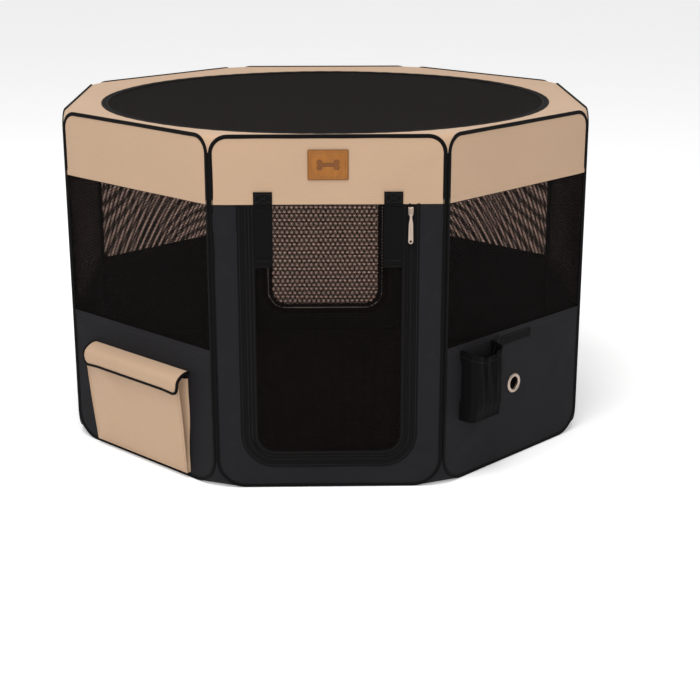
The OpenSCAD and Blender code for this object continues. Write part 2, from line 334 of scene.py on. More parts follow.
def nylon(name, rgb):
    s = Shader(name)
    tone = s.noise(420.0)
    return s.finish(base=s.shade(tone, rgb, 0.75, 1.3), rough=s.between(tone, 0.34, 0.52),
                    normal=s.bump(tone, 0.00015, 0.4), spec=0.2)


def thread(name, rgb):
    s = Shader(name)
    twist = s.noise(1400.0, 2.0)
    return s.finish(base=s.shade(twist, rgb, 0.7, 1.2), rough=0.6, normal=s.bump(twist, 0.0002, 0.6),
                    sheen=0.05, spec=0.15)


BLACK_RGB = (0.0030, 0.0027, 0.0027)
CREAM = oxford("cream_oxford", (0.452, 0.302, 0.195), sheen=0.12, contrast=0.13, dust=0.05, spec=0.35)
NAVY = oxford("navy_oxford", (0.0128, 0.0121, 0.0138), dust=0.01, spec=0.08)
BLACK = oxford("black_oxford", (0.0030, 0.0027, 0.0028))
TAPE = oxford("zip_tape", (0.0052, 0.0047, 0.0047), pitch=0.0008, contrast=0.35)
SEAM_TAPE = oxford("seam_tape", BLACK_RGB, pitch=0.0008)
BINDING = binding_cloth("binding_tape", BLACK_RGB)
WEB = webbing("strap_webbing", (0.0025, 0.0022, 0.0022))
WINDOW = knitted_mesh("window_mesh", (0.0040, 0.0031, 0.0029), 0.00094)
DISC = knitted_mesh("top_mesh_cloth", (0.0090, 0.0070, 0.0066), 0.00080)
LOOP = pile("loop_tape", (0.0036, 0.0032, 0.0031))
LEATHER = leather("tan_leather", (0.262, 0.094, 0.014))
DEBOSS = leather("pressed_leather", (0.150, 0.052, 0.010))
NICKEL = metal("warm_nickel", (0.43, 0.34, 0.28), 0.32, (900, 900, 60))
STEEL = metal("spring_steel", (0.55, 0.56, 0.58), 0.34, (60, 60, 2400))
TEETH = nylon("coil_nylon", (0.0070, 0.0066, 0.0068))
CREAM_THREAD = thread("cream_thread", (0.50, 0.36, 0.24))
DARK_THREAD = thread("dark_thread", (0.014, 0.0135, 0.0150))
TAN_THREAD = thread("tan_thread", (0.27, 0.12, 0.035))


# ---------------------------------------------------------------- points and outlines

def on_face(x, z, out):
    """Points that stand out from a panel's middle plane by out"""
    return np.stack(np.broadcast_arrays(x, -out, z), axis=-1)


def flat_uv(x, z):
    return np.stack(np.broadcast_arrays(x, z), axis=-1)


def closed_uv(points):
    """UV of points by their x and z, with the first row and column again at the end"""
    return np.pad(points[..., [0, 2]], ((0, 1), (0, 1), (0, 0)), mode="wrap")


def smooth(t):
    t = np.clip(t, 0, 1)
    return t * t * (3 - 2 * t)


def ridge(z, centre, width, height):
    return height * np.exp(-((z - centre) / width) ** 2)


def run(path):
    """Length along a path at each of its points"""
    return np.concatenate([[0], np.cumsum(np.linalg.norm(np.diff(path, axis=0), axis=1))])


def arc(cx, cz, radius, start, stop, count):
    """Points round part of a circle, from one angle in degrees to another"""
    angles = np.radians(np.linspace(start, stop, count))
    return [(cx + radius * math.cos(a), cz + radius * math.sin(a)) for a in angles]


def rounded_box(half_x, half_z, radius, centre, count=5):
    points = []
    for sx, sz, start in ((1, -1, -90), (1, 1, 0), (-1, 1, 90), (-1, -1, 180)):
        cx, cz = centre[0] + sx * (half_x - radius), centre[1] + sz * (half_z - radius)
        points += arc(cx, cz, radius, start, start + 90, count)
    return points


def u_path(half, z0, radius, top, straight=30, bend=13, foot=20):
    """Open outline that runs down the left side, along the foot and up the right side"""
    side = np.linspace(top, z0 + radius, straight)
    points = [(-half, z) for z in side]
    points += arc(-half + radius, z0 + radius, radius, 180, 270, bend)[1:]
    points += [(x, z0) for x in np.linspace(-half + radius, half - radius, foot)[1:]]
    points += arc(half - radius, z0 + radius, radius, 270, 360, bend)[1:]
    points += [(half, z) for z in side[-2::-1]]
    return np.array(points)


def panel_grid(half, z0, z1, foot_r=0.0, head_r=0.0, columns=46, step=0.006):
    """x and z of a grid, columns first, that fills a sheet with round foot or head corners"""
    rows = arc(half - foot_r, z0 + foot_r, foot_r, -90, 0, 11)[:-1] if foot_r else []
    low, high = z0 + foot_r, z1 - head_r
    rows += [(half, z) for z in np.linspace(low, high, max(3, int((high - low) / step) + 1))]
    rows += arc(half - head_r, z1 - head_r, head_r, 0, 90, 9)[1:] if head_r else []
    wide, tall = np.array(rows).T
    return np.linspace(-1, 1, columns)[:, None] * wide, np.repeat(tall[None, :], columns, axis=0)


def normals(points):
    """Unit normals of a grid of points"""
    out = np.cross(np.gradient(points, axis=0), np.gradient(points, axis=1))
    return out / np.maximum(np.linalg.norm(out, axis=2, keepdims=True), 1e-12)


def loop_normals(loop):
    """Unit directions to the inside of a closed outline in the plane"""
    along = np.roll(loop, -1, axis=0) - np.roll(loop, 1, axis=0)
    side = np.stack([-along[:, 1], along[:, 0]], axis=1)
    side = side / np.linalg.norm(side, axis=1)[:, None]
    after = np.roll(loop, -1, axis=0)
    area = np.sum(loop[:, 0] * after[:, 1] - after[:, 0] * loop[:, 1])
    return side if area > 0 else -side


# ---------------------------------------------------------------- mesh building

class Shape:
    """Collects the faces of one piece, with a UV map in metres"""

    def __init__(self):
        self.co = []
        self.faces = []
        self.uv = []
        self.slots = []

    def face(self, ids, uv, slot):
        self.faces.append(ids)
        self.uv.extend(uv)
        self.slots.append(slot)

    def grid(self, points, uv, slot=0, wrap=False, closed=False):
        """Quads between neighbours; wrap joins the last row to the first, and closed the columns"""
        rows, columns = points.shape[:2]
        start = len(self.co)
        self.co.extend(points.reshape(-1, 3).tolist())
        for i in range(rows - (not wrap)):
            for j in range(columns - (not closed)):
                spots = [(i, j), (i + 1, j), (i + 1, j + 1), (i, j + 1)]
                ids = [start + p % rows * columns + q % columns for p, q in spots]
                self.face(ids, [uv[spot] for spot in spots], slot)
        return start

    def skin(self, rings, uv, slot=0, wrap=False):
        """Quads between closed rings of points, capped at both ends unless it wraps"""
        start = self.grid(rings, uv, slot, wrap, closed=True)
        count, sides = rings.shape[:2]
        for i in () if wrap else (0, count - 1):
            self.face([start + i * sides + j for j in range(sides)], list(uv[i, :sides]), slot)

    def cloth(self, points, uv, thick):
        """Closed sheet that stands half its thickness out on both sides of a grid"""
        rows, columns = points.shape[:2]
        out = normals(points) * (np.asarray(thick) / 2)
        front = self.grid(points + out, uv)
        back = self.grid(points - out, uv)
        border = [(i, 0) for i in range(rows)] + [(rows - 1, j) for j in range(1, columns)]
        border += [(i, columns - 1) for i in range(rows - 2, -1, -1)]
        border += [(0, j) for j in range(columns - 2, 0, -1)]
        for here, after in zip(border, border[1:] + border[:1]):
            a = here[0] * columns + here[1]
            b = after[0] * columns + after[1]
            ring = [front + a, back + a, back + b, front + b]
            self.face(ring, [uv[here], uv[here], uv[after], uv[after]], 0)

    def tube(self, path, radius, slot=0, sides=8, wrap=False):
        """Round cord along a path of points, closed at its ends unless it wraps"""
        path = np.asarray(path, float)
        along = np.roll(path, -1, axis=0) - np.roll(path, 1, axis=0) if wrap else np.gradient(path, axis=0)
        along = along / np.linalg.norm(along, axis=1)[:, None]
        side = np.cross(along[0], ASKEW)
        angles = np.linspace(0, 2 * math.pi, sides + 1)[:-1]
        rings = []
        for spot, direction in zip(path, along):
            side = side - direction * np.dot(side, direction)
            side = side / np.linalg.norm(side)
            up = np.cross(direction, side)
            rings.append(spot + radius * (np.outer(np.cos(angles), side) + np.outer(np.sin(angles), up)))
        length = run(path)
        length = np.append(length, length[-1] + 0.01)
        self.skin(np.array(rings), flat_uv(length[:, None], radius * np.arange(sides + 1)), slot, wrap)

    def stitches(self, path, pitch, slot=1, radius=THREAD_R):
        """A row of short five-sided threads laid along a path, one at each pitch"""
        path = np.asarray(path, float)
        length = run(path)
        count = max(1, int(length[-1] / pitch))
        angles = 2 * math.pi * np.arange(5) / 5
        for k in range(count):
            at = (k + 0.5 + STITCH_ENDS) * length[-1] / count
            points = np.stack([np.interp(at, length, column) for column in path.T], axis=1)
            direction = points[-1] - points[0]
            direction = direction / np.linalg.norm(direction)
            side = np.cross(direction, ASKEW)
            side = side / np.linalg.norm(side)
            up = np.cross(direction, side)
            ring = radius * (np.outer(np.cos(angles), side) + np.outer(np.sin(angles), up))
            self.skin(points[:, None, :] + STITCH_SIZES[:, None, None] * ring, STITCH_UV, slot)

    def slab(self, outline, y0, y1, bevel, slot=0, hole=0.0, centre=(0, 0)):
        """Flat plate between y0 and y1 with bevelled edges; outline holds (x, z) points"""
        outer = np.asarray(outline, float)
        inner = outer + loop_normals(outer) * bevel
        way = math.copysign(1, y1 - y0)
        rings = [(inner, y0), (outer, y0 + way * bevel), (outer, y1 - way * bevel), (inner, y1)]
        if hole:
            lip = bevel * 0.6
            spokes = outer - centre
            spokes = spokes / np.linalg.norm(spokes, axis=1)[:, None]
            mouth, bore = centre + spokes * (hole + lip), centre + spokes * hole
            rings += [(mouth, y1), (bore, y1 - way * lip), (bore, y0 + way * lip), (mouth, y0)]
        points = np.array([on_face(flat[:, 0], flat[:, 1], -y) for flat, y in rings])
        self.skin(points, closed_uv(points), slot, wrap=bool(hole))

    def lathe(self, profile, centre, sides=64):
        """Ring turned about the panel's normal; profile is a closed list of (radius, out)"""
        angles = np.linspace(0, 2 * math.pi, sides + 1)[:-1, None]
        radius, out = np.array(profile).T
        points = on_face(centre[0] + radius * np.cos(angles), centre[1] + radius * np.sin(angles), out)
        self.skin(points, closed_uv(points), wrap=True)


def piece(name, shape, materials, body, panel, replaces=(), angle=42):
    """Makes the object from a shape drawn in a panel's frame, and makes it ride"""
    mesh = bpy.data.meshes.new(name)
    mesh.from_pydata(shape.co, [], shape.faces)
    layer = mesh.uv_layers.new(name="metres")
    layer.data.foreach_set("uv", np.asarray(shape.uv, np.float32).ravel())
    for material in materials:
        mesh.materials.append(material)
    mesh.polygons.foreach_set("material_index", shape.slots)
    mesh.transform(PANEL[panel])
    work = bmesh.new()
    work.from_mesh(mesh)
    bmesh.ops.recalc_face_normals(work, faces=work.faces)
    work.to_mesh(mesh)
    work.free()
    mesh.polygons.foreach_set("use_smooth", [True] * len(mesh.polygons))
    mesh.set_sharp_from_angle(angle=math.radians(angle))
    obj = bpy.data.objects.new(name, mesh)
    bpy.context.scene.collection.objects.link(obj)
    if body:
        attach(obj, body)
    if replaces:
        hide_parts(*replaces)
    return obj


def net(name, points, uv, material, body, panel, replaced):
    """Mesh cloth: its two faces, and a core between them so that it closes up seen edge on"""
    shape = Shape()
    shape.cloth(points, uv, MESH_GAP)
    obj = piece(name, shape, [material], body, panel, [replaced])
    shape = Shape()
    shape.grid(points, uv)
    core = piece(f"{name}_core", shape, [material], body, panel)
    return obj, core


# ---------------------------------------------------------------- how cloth lies

def ripple(x, z, rng, amount, waves, count=7):
    """Sum of long soft waves in random directions"""
    total = np.zeros_like(x)
    for _ in range(count):
        heading = rng.uniform(0, math.pi)
        length = rng.uniform(*waves)
        phase = rng.uniform(0, 2 * math.pi)
        total += np.sin(2 * math.pi * (x * math.cos(heading) + z * math.sin(heading)) / length + phase)
    return amount * total / count


def creases(x, z, rng, starts, amount, reach, width, each=3):
    """Tension folds that fan out from fixed points; starts hold (x, z, heading)"""
    total = np.zeros_like(x)
    for x0, z0, heading in starts:
        for _ in range(each):
            turn = heading + rng.uniform(-0.38, 0.38)
            size = amount * rng.uniform(0.4, 1.0)
            far = reach * rng.uniform(0.6, 1.3)
            wide = width * rng.uniform(0.7, 1.5)
            along = (x - x0) * math.cos(turn) + (z - z0) * math.sin(turn)
            across = -(x - x0) * math.sin(turn) + (z - z0) * math.cos(turn)
            spread = wide * (0.5 + np.clip(along, 0, None) / far)
            fade = smooth(along / 0.015) * smooth(1.6 - along / far)
            total += size * fade * np.exp(-(across / spread) ** 2)
    return total


def relief(x, z, seed, wave, lengths, starts, fold, reach, width=0.007):
    """Waves and tension folds together, drawn from one seed"""
    rng = random.Random(seed)
    return ripple(x, z, rng, wave, lengths) + creases(x, z, rng, starts, fold, reach, width)


def edge_fade(x, z, half, z0, z1, room):
    near = np.minimum(np.minimum(half - np.abs(x), z - z0), z1 - z)
    return smooth(near / room)


def hemmed(shape, x, z, out, edge, way, row):
    """Adds a sheet whose hem is folded and stitched; way is 1 for a lower edge, -1 for an upper"""
    hem = smooth((0.0105 - way * (z - edge)) / 0.002) * 0.0005
    groove = ridge(z, edge + way * 0.0095, 0.0009, 0.0004)
    shape.cloth(on_face(x, z, out + hem - groove), flat_uv(x, z), PANEL_T)
    seam_x = np.linspace(-IN_X + 0.004, IN_X - 0.004, 60)
    face_out = np.interp(seam_x, x[:, row], out[:, row]) + FACE
    shape.stitches(on_face(seam_x, edge + way * 0.0093, face_out + 0.0001), SEAM_PITCH)


# ---------------------------------------------------------------- a panel's own pieces

def hoop_path():
    """Round the hoop's centreline: x and z, and the direction out of the panel, at each point"""
    bends = []
    for sx, cz, radius, start in ((1, HOOP_Z0 + R_BOTTOM, R_BOTTOM, -90), (1, HOOP_Z1 - R_TOP, R_TOP, 0),
                                  (-1, HOOP_Z1 - R_TOP, R_TOP, 90), (-1, HOOP_Z0 + R_BOTTOM, R_BOTTOM, 180)):
        out = np.array(arc(0, 0, 1, start, start + 90, 12))
        bends.append(np.hstack([out * radius + (sx * (HOOP_X - radius), cz), out]))
    path = []
    for here, after in zip(bends, bends[1:] + bends[:1]):
        count = max(2, int(np.linalg.norm(after[0, :2] - here[-1, :2]) / 0.011))
        path += [here, np.linspace(here[-1], after[0], count + 1)[1:-1]]
    return np.concatenate(path)


def binding_profile():
    """Closed outline of the binding's section as (out of the panel, off its plane)"""
    tip = [(-FLANGE, 0.0010), (-FLANGE + 0.0006, 0.0018)]
    return np.array(tip + arc(0, 0, PIPE_R, 144, -144, 17) + [(a, -b) for a, b in reversed(tip)])


def binding(i):
    name = NAMES[i]
    rng = random.Random(700 + i)
    path = hoop_path()
    profile = binding_profile()
    length = run(np.vstack([path[:, :2], path[:1, :2]]))
    around = run(profile)
    around = around - around[-1] / 2
    wobble = np.zeros(len(path))
    for _ in range(5):
        turns = rng.randint(4, 22)
        wobble += 0.00009 * np.sin(turns * 2 * math.pi * length[:-1] / length[-1] + rng.uniform(0, 6))
    points = np.zeros((len(path), len(profile), 3))
    for j, (out, off) in enumerate(profile):
        reach = out + (wobble if out < -0.004 else 0)
        points[:, j] = on_face(path[:, 0] + path[:, 2] * reach, path[:, 1] + path[:, 3] * reach, -off)
    shape = Shape()
    shape.skin(points, flat_uv(length[:, None], np.append(around, around[-1] + 0.0022)), wrap=True)
    piece(f"{name}_binding", shape, [BINDING], f"{name}_panel", i,
          [f"{name}_edge_binding"], angle=60)


def pressed(x, z):
    """1 where a strap end or the patch holds the front band flat, and 0 away from them"""
    room = 0.012
    side = np.abs(x)
    tabs = smooth((TAB_HI[2] + 0.014 - z) / room) * smooth((TAB_HI[0] + room - side) / room)
    tabs *= smooth((side - TAB_SIDE + room) / room)
    under = smooth((PATCH_W / 2 + room - side) / room) * smooth((z - PATCH_LO[2] + 0.014) / room)
    return np.maximum(tabs, under * smooth((PATCH_HI[2] + room - z) / 0.010))


def band(i):
    """Cream band with a folded hem along its lower edge"""
    name = NAMES[i]
    top = BAND_HI[2]
    x, z = panel_grid(HALF, HEM_Z, top + TUCK, head_r=R_TOP - PIPE_R + TUCK)
    fade = edge_fade(x, z, HALF, HEM_Z - 0.03, top, 0.03)
    starts = [(-HALF, top, -0.9), (HALF, top, -2.25)]
    out = fade * (relief(x, z, 100 + i, 0.0011, (0.09, 0.3), starts, 0.0006, 0.07) + 0.0009)
    if i == FRONT:
        out *= 1 - 0.85 * pressed(x, z)
    shape = Shape()
    hemmed(shape, x, z, out, HEM_Z, 1, 1)
    obj = piece(f"{name}_top_band", shape, [CREAM, CREAM_THREAD], f"{name}_panel", i,
                [f"{name}_band"])


def skirt(i):
    """Navy skirt below a window, with a folded upper edge"""
    name = NAMES[i]
    x, z = panel_grid(HALF, FOOT_Z, SKIRT_Z, foot_r=R_BOTTOM - PIPE_R + TUCK)
    starts = [(-HALF, SKIRT_Z, -0.9), (HALF, SKIRT_Z, -2.25), (-HALF, FOOT_Z + 0.03, 0.6),
              (HALF, FOOT_Z + 0.03, 2.5)]
    out = relief(x, z, 200 + i, 0.0022, (0.1, 0.34), starts, 0.0013, 0.11, 0.009) + 0.0012
    out *= edge_fade(x, z, HALF, FOOT_Z - 0.01, SKIRT_Z, 0.035)
    if i == POCKET_SIDE:
        out *= smooth((z - 0.17) / 0.05)
    if i == BOTTLE_SIDE:
        out *= 0.6 * smooth((np.hypot(x, z - GROMMET_Z) - 0.02) / 0.03)
    shape = Shape()
    hemmed(shape, x, z, out, SKIRT_Z, -1, -2)
    obj = piece(f"{name}_lower_skirt", shape, [NAVY, DARK_THREAD], f"{name}_panel", i,
                [f"{name}_skirt"])
    if i == BOTTLE_SIDE:
        punch(obj)


def punch(obj):
    """Cuts the grommet's round hole in the skirt and draws the edge to a true circle"""
    cut, rim = 0.0155, 0.0134
    panel = PANEL[BOTTLE_SIDE]
    middle = Vector((0, 0, GROMMET_Z))
    work = bmesh.new()
    work.from_mesh(obj.data)

    def spoke(point):
        """From the grommet's axis to the point, in the panel's plane"""
        local = panel.inverted() @ point - middle
        return Vector((local.x, 0, local.z)), local.y

    doomed = [f for f in work.faces if spoke(f.calc_center_median())[0].length < cut]
    bmesh.ops.delete(work, geom=doomed, context="FACES")
    edges = [e for e in work.edges if e.is_boundary]
    for v in {v for e in edges for v in e.verts}:
        flat, off = spoke(v.co)
        v.co = panel @ (middle + flat.normalized() * rim + Vector((0, off, 0)))
    bmesh.ops.bridge_loops(work, edges=edges)
    bmesh.ops.recalc_face_normals(work, faces=work.faces)
    work.to_mesh(obj.data)
    work.free()
    obj.data.set_sharp_from_angle(angle=math.radians(42))


def window(i):
    name = NAMES[i]
    lap = 0.005
    x, z = panel_grid(HALF, SKIRT_Z - lap, HEM_Z + lap, columns=30, step=0.011)
    starts = [(-HALF, HEM_Z, -0.8), (HALF, HEM_Z, -2.3), (-HALF, SKIRT_Z, 0.8), (HALF, SKIRT_Z, 2.3)]
    out = edge_fade(x, z, HALF, SKIRT_Z, HEM_Z, 0.05)
    out *= relief(x, z, 300 + i, 0.0016, (0.12, 0.4), starts, 0.0006, 0.09, 0.01)
    net(f"{name}_window", on_face(x, z, out), flat_uv(x, z), WINDOW, f"{name}_panel", i, f"{name}_mesh")


# ---------------------------------------------------------------- doors and zips

def door_outline(step, top):
    """The opening's outline, moved inwards by step"""
    return u_path(TRACK_HI[0] - step, TRACK_LO[2] + step, DOOR_R - step, top)


def door_seam(shape, step, top, out, pitch):
    """Stitches along the door's outline"""
    x, z = door_outline(step, top).T
    shape.stitches(on_face(x, z, out), pitch)


def lerp_grid(outer, inner, shares):
    """Grid from an outer outline to an inner one, with columns at the given shares"""
    shares = np.asarray(shares)[None, :, None]
    return outer[:, None, :] * (1 - shares) + inner[:, None, :] * shares


def surround(i):
    """Navy cloth round the door, from the binding to the zip's tape"""
    name = NAMES[i]
    top = HEM_Z + 0.003
    share = np.linspace(0, 1, 10)
    outer = u_path(HALF, FOOT_Z, R_BOTTOM - PIPE_R + TUCK, top)
    plan = lerp_grid(outer, door_outline(0.0015, top), share)
    x, z = plan[..., 0], plan[..., 1]
    fade = smooth(np.minimum(share, 1 - share) * 4) * smooth((HEM_Z - z) / 0.02)
    starts = [(-HALF, HEM_Z - 0.005, -1.15), (-HALF + 0.02, HEM_Z - 0.03, -1.3), (HALF, HEM_Z, -1.95),
              (-HALF + 0.01, 0.06, 0.5), (HALF - 0.01, 0.06, 2.6)]
    slant = np.sin((z + 0.9 * x) * 2 * math.pi / 0.085) * smooth((-x - 0.12) / 0.02)
    slant *= 0.0006 * smooth((z - 0.25) / 0.1)
    out = fade * (relief(x, z, 400 + i, 0.0015, (0.07, 0.25), starts, 0.0016, 0.16) + slant + 0.0008)
    shape = Shape()
    shape.cloth(on_face(x, z, out), flat_uv(x, z), PANEL_T)
    door_seam(shape, -0.0045, HEM_Z - 0.004, FACE + 0.0004, SEAM_PITCH)
    obj = piece(f"{name}_door_surround", shape, [NAVY, DARK_THREAD], f"{name}_panel", i,
                [f"{name}_skirt"])


def zip_tape(shape, outer_step, inner_step, top, profile):
    """Adds a tape along the door's opening; profile holds (share across, how far it stands out)"""
    share, out = np.array(profile).T
    outer = door_outline(outer_step, top)
    plan = lerp_grid(outer, door_outline(inner_step, top), share)
    uv = flat_uv(run(outer)[:, None], share * (inner_step - outer_step))
    shape.cloth(on_face(plan[..., 0], plan[..., 1], out), uv, TAPE_T)


def teeth(shape, step, side, top, shift):
    """Zip teeth along the outline at step; side is 1 for the surround's half, -1 for the door's"""
    path = door_outline(step, top)
    length = run(path)
    pitch, long, wide, high = 0.0024, 0.0022, 0.0010, 0.0022
    for k in range(int(length[-1] / pitch) - 1):
        at = (k + 0.5 + shift) * pitch
        spot, ahead = (np.array([np.interp(a, length, column) for column in path.T]) for a in (at, at + 1e-4))
        along = (ahead - spot) / np.linalg.norm(ahead - spot)
        across = np.array([-along[1], along[0]])
        corners = []
        for a, b in ((-1, -1), (1, -1), (1, 1), (-1, 1)):
            taper = 0.7 if b * side > 0 else 1.0
            corners.append(spot + along * a * wide / 2 * taper + across * b * long / 2)
        shape.slab(corners, -high / 2, high / 2, 0.00016, 2)


def zips(i):
    """Both halves of a door's zip; the surround's half stays and the door's half swings"""
    name = NAMES[i]
    step = TRACK_HI[0] - TAPE_HI[0]
    shape = Shape()
    zip_tape(shape, -0.0025, step - 0.0016, HEM_Z + 0.001,
             [(0.0, 0.0009), (0.03, 0.0019), (0.10, 0.0021), (0.19, 0.0014), (0.26, 0.0013), (0.60, 0.0011),
              (0.80, 0.0011), (0.88, 0.0018), (0.97, 0.0016), (1.0, 0.0006)])
    for offset in (0.0007, 0.0108):
        door_seam(shape, offset, HEM_Z - 0.003, 0.0021, ZIP_PITCH)
    teeth(shape, step - 0.0013, 1, HEM_Z - 0.001, 0.0)
    piece(f"{name}_zip_half", shape, [TAPE, DARK_THREAD, TEETH], f"{name}_panel", i,
          [f"{name}_zip_track"])
    top = MESH_HI[2]
    mesh_step = TRACK_HI[0] - MESH_HI[0]
    shape = Shape()
    zip_tape(shape, step, mesh_step + 0.0012, top,
             [(0.0, 0.0004), (0.1, 0.0010), (0.3, 0.0011), (0.55, 0.0010), (0.75, 0.0016), (0.93, 0.0016),
              (1.0, 0.0006)])
    door_seam(shape, mesh_step - 0.0016, top - 0.003, 0.0021, ZIP_PITCH)
    teeth(shape, step - 0.0003, -1, top - 0.001, 0.5)
    piece(f"{name}_door_zip_half", shape, [TAPE, DARK_THREAD, TEETH], f"{name}_door", i,
          [f"{name}_door_tape"])


def door_mesh(i):
    name = NAMES[i]
    half, z0, top = MESH_HI[0] + 0.0015, MESH_LO[2] - 0.0015, MESH_HI[2]
    x, z = panel_grid(half, z0, top, foot_r=DOOR_R - (TRACK_HI[0] - half), columns=26, step=0.011)
    starts = [(-half, top, -1.0), (half, top, -2.1)]
    out = edge_fade(x, z, half, z0, top, 0.05)
    out *= relief(x, z, 500 + i, 0.0015, (0.12, 0.4), starts, 0.0007, 0.12, 0.012)
    net(f"{name}_door_net", on_face(x, z, out), flat_uv(x, z), WINDOW, f"{name}_door", i,
        f"{name}_door_mesh")


def slider(i):
    """Zip slider: two shield-shaped plates, a neck between them and a bridge that holds the pull"""
    name = NAMES[i]
    lo, hi = span(f"{name}_zip_slider", i)
    cx, _, cz = (lo + hi) / 2
    half_x, _, half_z = (hi - lo) / 2
    gap, plate = 0.0013, 0.0020
    right = [(0.55, -1), (0.8, -0.92), (0.9, -0.6), (1, 0.2), (1, 0.75), (0.85, 1), (0.3, 1)]
    shield = right + [(0, 0.9)] + [(-a, b) for a, b in reversed(right)]
    outline = [(cx + a * half_x, cz + b * half_z) for a, b in shield]
    shape = Shape()
    shape.slab(outline, -gap, -gap - plate, 0.0004)
    shape.slab(outline, gap, gap + plate, 0.0004)
    neck = rounded_box(0.00034, half_z * 0.5, 0.0003, (lo[0] + 0.00035, cz + half_z * 0.5))
    shape.slab(neck, -gap - 0.0002, gap + 0.0002, 0.0001)
    bar_y = lo[1] + 0.0013
    root_y = -gap - plate + 0.0002
    bridge = [(root_y, half_z * 0.72), (bar_y + 0.0006, half_z * 0.72), (bar_y - 0.0004, half_z * 0.5),
              (bar_y - 0.0004, 0.0022), (bar_y, -0.001), (bar_y + 0.0012, -0.0032), (root_y, -0.0036)]
    for side in (-0.0025, 0.0025):
        shape.tube([(cx + side, y, cz + rise) for y, rise in bridge], 0.00055)
    shape.tube([(cx + a, bar_y + 0.0002, cz) for a in (-0.0028, 0, 0.0028)], 0.0009, sides=12)
    piece(f"{name}_slider", shape, [NICKEL], f"{name}_zip_slider", i, [f"{name}_zip_slider"],
          angle=35)
    pull_tab(i, bar_y)


def pull_tab(i, bar_y):
    """Flat pull, narrow at its eye and round at its foot, which hangs from the slider's bar"""
    name = NAMES[i]
    lo, hi = span(f"{name}_zip_pull", i)
    px = (lo[0] + hi[0]) / 2
    wide = (hi[0] - lo[0]) / 2
    y0, y1 = bar_y + 0.0007, bar_y - 0.0007
    neck, flare, waist = 0.0019, hi[2] - 0.012, hi[2] - 0.022
    end_z = lo[2] + wide
    side = [(neck, hi[2] - 0.0042), (neck, flare)]
    side += [(neck + (wide * 0.86 - neck) * smooth(t), flare - 0.010 * t) for t in (0.25, 0.5, 0.75, 1.0)]
    side += [(wide * (0.86 + 0.14 * t), waist - (waist - end_z) * t) for t in (0.3, 0.6, 0.85)]
    side += arc(0, end_z, wide, 0, -90, 8)
    outline = [(px + x, z) for x, z in side] + [(px - x, z) for x, z in reversed(side[:-1])]
    shape = Shape()
    shape.slab(outline, y0, y1, 0.0003, hole=0.0021, centre=(px, end_z))
    angles = np.linspace(0, 2 * math.pi, 17)[:-1]
    eye_y = bar_y + 0.0002 + 0.00175 * np.sin(angles)
    eye_z = hi[2] - 0.0022 + 0.00175 * np.cos(angles)
    for side in (-0.0011, 0.0, 0.0011):
        shape.tube(on_face(px + side, eye_z, -eye_y), 0.00058, wrap=True)
    shape.tube(on_face(px, np.linspace(flare - 0.008, end_z + 0.007, 8), -y1 + 0.00005), 0.0007, sides=10)
    piece(f"{name}_pull_tab", shape, [NICKEL], f"{name}_zip_pull", i, [f"{name}_zip_pull"],
          angle=35)


# ---------------------------------------------------------------- straps and patch

def tie_strap(side, label):
    """Webbing that ties the rolled door, with a folded and stitched lower end"""
    lo, hi = span("tie_straps")
    width = hi[0] - span_side("tie_straps")
    cx = side * (hi[0] - width / 2)
    v = np.linspace(0, 1, 40)
    u = np.linspace(-0.5, 0.5, 12)
    heights = hi[2] + (lo[2] - hi[2]) * v
    x, z = np.meshgrid(cx + u * width, heights, indexing="ij")
    bow = 0.0007 * np.sin(v * math.pi * 1.15) + 0.0004 * np.sin(v * 7 + side)
    cup = 0.0006 * (2 * u[:, None]) ** 2 * smooth(v * 2)
    out = 0.0024 + bow + cup + ripple(x, z, random.Random(600 + side), 0.0003, (0.03, 0.09))
    shape = Shape()
    shape.cloth(on_face(x, z, out), flat_uv(x - cx, z), LAYER_T)
    fold_z = hi[2] + (lo[2] - hi[2]) * np.linspace(0.86, 0.995, 9)
    x, z = np.meshgrid(cx + u * (width - 0.0004), fold_z, indexing="ij")
    lift = np.stack([np.interp(fold_z, heights[::-1], row[::-1]) for row in out])
    shape.cloth(on_face(x, z, lift + 0.0009), flat_uv(x - cx, -z), 0.0009)
    seam_x = cx + np.linspace(-0.5, 0.5, 9) * (width - 0.004)
    for rise in (0.0020, 0.0115):
        seam_out = np.interp(lo[2] + rise, heights[::-1], out[5][::-1]) + 0.0015
        shape.stitches(on_face(seam_x, lo[2] + rise, seam_out), BOX_PITCH)
    obj = piece(f"{label}_tie_strap", shape, [WEB, DARK_THREAD], "front_door", FRONT,
                ["tie_straps"])
    strap_end(label, cx, u * width)


def strap_end(label, cx, across):
    """End of the webbing that is sewn above the hem, with a box of stitches and its diagonals"""
    x, z = np.meshgrid(cx + across, np.linspace(TAB_LO[2] - 0.0035, TAB_HI[2], 14), indexing="ij")
    out = 0.0023 + ridge(z, TAB_HI[2] - 0.001, 0.0012, 0.0003) - ridge(z, HEM_Z, 0.002, 0.0002)
    shape = Shape()
    shape.cloth(on_face(x, z, out), flat_uv(x - cx, z), LAYER_T)
    box_x, box_z0, box_z1 = across[-1] - 0.003, TAB_LO[2] + 0.003, TAB_HI[2] - 0.003
    a, b = (cx - box_x, -0.0030, box_z0), (cx + box_x, -0.0030, box_z0)
    c, d = (cx + box_x, -0.0030, box_z1), (cx - box_x, -0.0030, box_z1)
    for line in ((a, b), (b, c), (c, d), (d, a), (a, c), (b, d)):
        shape.stitches(line, 0.0028)
    piece(f"{label}_strap_end", shape, [WEB, DARK_THREAD], "front_panel", FRONT,
          ["strap_tabs"])


def bone_field(x, z):
    """Signed distance to a plain bone: a bar with two knobs at each end"""
    bar = np.maximum(np.abs(x) - 0.012, np.abs(z) - 0.0032)
    knobs = np.hypot(np.abs(x) - 0.0135, np.abs(z) - 0.0040) - 0.0046
    return np.minimum(bar, knobs)


